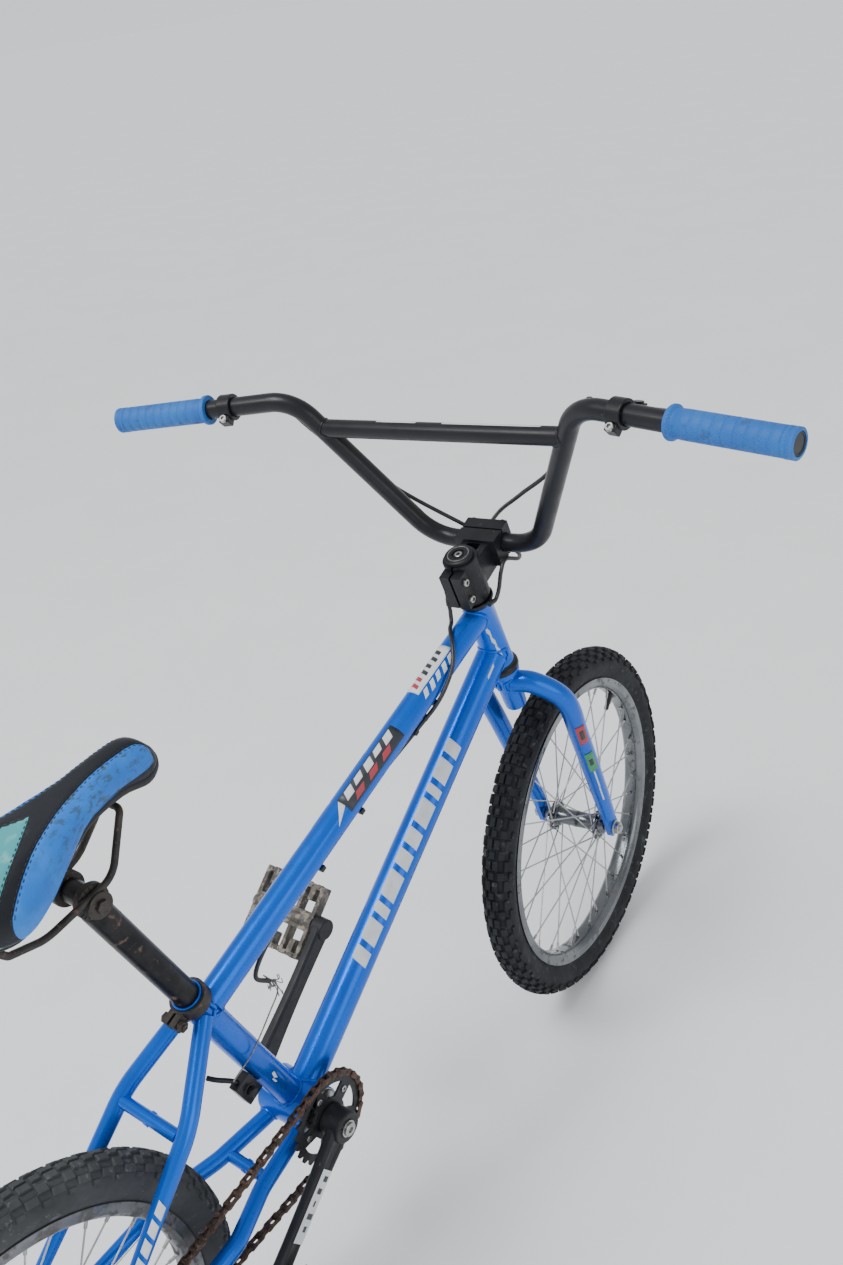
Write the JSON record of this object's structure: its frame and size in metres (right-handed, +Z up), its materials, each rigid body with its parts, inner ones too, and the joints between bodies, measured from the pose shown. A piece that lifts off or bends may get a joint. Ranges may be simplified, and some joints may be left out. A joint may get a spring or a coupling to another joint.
{
  "type": "bmx bicycle",
  "caption": "Steel BMX bicycle with a high-rise handlebar and crossbar, knobbly 20-inch tyres, rigid fork, single-speed chain drive, platform pedals and a padded saddle",
  "frame": {"origin": "on the ground, midway between the two wheel axles, in the frame's middle plane", "axes": "+X forwards, +Y to the rider's left, +Z up; the drive side is -Y and the handlebar is turned about 6 degrees to the left"},
  "size_m": [1.4853, 0.828, 0.9715],
  "materials": {
    "blue_paint": "glossy bright blue enamel with small chips",
    "black_paint": "worn semi-gloss black",
    "pedal_metal": "black worn to dusty grey metal",
    "bare_steel": "plain zinc-plated steel, slightly dusty",
    "chrome": "chrome dulled by dust",
    "rusty_steel": "black finish gone rusty brown",
    "tyre": "knobbly black rubber, dusty",
    "grip_rubber": "soft light blue rubber with ribs",
    "saddle_vinyl": "stitched light blue and black vinyl, scuffed",
    "black_plastic": "satin black plastic"
  },
  "bodies": {
    "frame": {"head_tube": "blue_paint", "top_tube": "blue_paint", "down_tube": "blue_paint", "seat_tube": "blue_paint", "bb_shell": "blue_paint", "seat_stay_left": "blue_paint", "seat_stay_right": "blue_paint", "chain_stay_left": "blue_paint", "chain_stay_right": "blue_paint", "seat_stay_bridge": "blue_paint", "chain_stay_bridge": "blue_paint", "dropout_left": "blue_paint", "dropout_right": "blue_paint", "headset_upper_cup": "black_paint", "headset_lower_cup": "black_paint", "seat_clamp": "rusty_steel", "seat_clamp_bolt": "rusty_steel", "bb_cup_left": "bare_steel", "bb_cup_right": "bare_steel", "rear_axle": "bare_steel", "chain": "rusty_steel", "rear_brake_cable": "black_plastic", "cable_anchor": "black_paint"},
    "seat_post": {"seat_post": "rusty_steel"},
    "saddle": {"saddle_clamp": "rusty_steel", "saddle_rails": "rusty_steel", "saddle_shell": "black_plastic", "saddle_cover": "saddle_vinyl"},
    "fork": {"steerer_tube": "blue_paint", "fork_leg_left": "blue_paint", "fork_leg_right": "blue_paint", "headset_spacer": "black_paint", "stem_body": "black_paint", "stem_faceplate": "black_paint", "top_cap": "black_paint", "handlebar": "black_paint", "grip_left": "grip_rubber", "grip_right": "grip_rubber", "lever_bracket_left": "black_paint", "lever_bracket_right": "black_paint", "front_axle": "bare_steel", "brake_cable_left": "black_plastic", "brake_cable_right": "black_plastic"},
    "brake_lever_left": {"brake_lever_left": "black_plastic"},
    "brake_lever_right": {"brake_lever_right": "black_plastic"},
    "front_wheel": {"front_hub": "chrome", "front_spokes": "bare_steel", "front_rim": "chrome", "front_tyre": "tyre"},
    "rear_wheel": {"rear_hub": "chrome", "rear_spokes": "bare_steel", "rear_rim": "chrome", "rear_tyre": "tyre"},
    "freewheel": {"freewheel": "bare_steel"},
    "crank": {"crank_spindle": "bare_steel", "crank_arm_left": "black_paint", "crank_arm_right": "black_paint", "chainring": "black_paint"},
    "pedal_left": {"pedal_left": "pedal_metal"},
    "pedal_right": {"pedal_right": "pedal_metal"}
  },
  "joints": [
    {"name": "steering", "type": "hinge", "parent": "frame", "child": "fork", "pos_m": [0.34069, 0, 0.6454], "axis": [-0.2823, 0, 0.9593], "range_deg": [-75.9, 64.1]},
    {"name": "front_wheel_spin", "type": "hinge", "parent": "fork", "child": "front_wheel", "pos_m": [0.49143, 0.00349, 0.25195], "axis": [-0.0993, 0.9946, -0.0292], "continuous": true},
    {"name": "rear_wheel_spin", "type": "hinge", "parent": "frame", "child": "rear_wheel", "pos_m": [-0.4916, 0, 0.252], "axis": [0, 1, 0], "continuous": true},
    {"name": "freewheel_spin", "type": "hinge", "parent": "frame", "child": "freewheel", "pos_m": [-0.4916, 0, 0.252], "axis": [0, 1, 0], "continuous": true},
    {"name": "crank_spin", "type": "hinge", "parent": "frame", "child": "crank", "pos_m": [-0.109, 0, 0.286], "axis": [0, 1, 0], "continuous": true},
    {"name": "pedal_left_spin", "type": "hinge", "parent": "crank", "child": "pedal_left", "pos_m": [0.04195, 0.13, 0.38033], "axis": [0, 1, 0], "continuous": true},
    {"name": "pedal_right_spin", "type": "hinge", "parent": "crank", "child": "pedal_right", "pos_m": [-0.25995, -0.13, 0.19167], "axis": [0, 1, 0], "continuous": true},
    {"name": "brake_lever_left_squeeze", "type": "hinge", "parent": "fork", "child": "brake_lever_left", "pos_m": [0.27391, 0.27074, 0.93259], "axis": [0.1955, 0.1444, 0.97], "range_deg": [0, 12], "stiffness_Nm_per_rad": 0.6, "springref_deg": -11.46},
    {"name": "brake_lever_right_squeeze", "type": "hinge", "parent": "fork", "child": "brake_lever_right", "pos_m": [0.33026, -0.22992, 0.94901], "axis": [-0.2145, 0.0464, -0.9756], "range_deg": [0, 12], "stiffness_Nm_per_rad": 0.6, "springref_deg": -11.46},
    {"name": "seat_height", "type": "slide", "parent": "frame", "child": "seat_post", "axis": [-0.3502, 0, 0.9367], "range_m": [-0.11, 0.03]},
    {"name": "saddle_tilt", "type": "hinge", "parent": "seat_post", "child": "saddle", "pos_m": [-0.26624, 0, 0.70657], "axis": [0, 1, 0], "range_deg": [-15, 15]}
  ],
  "couplings": [
    {"joint": "freewheel_spin", "follows": "crank_spin", "ratio": 2.7778}
  ]
}
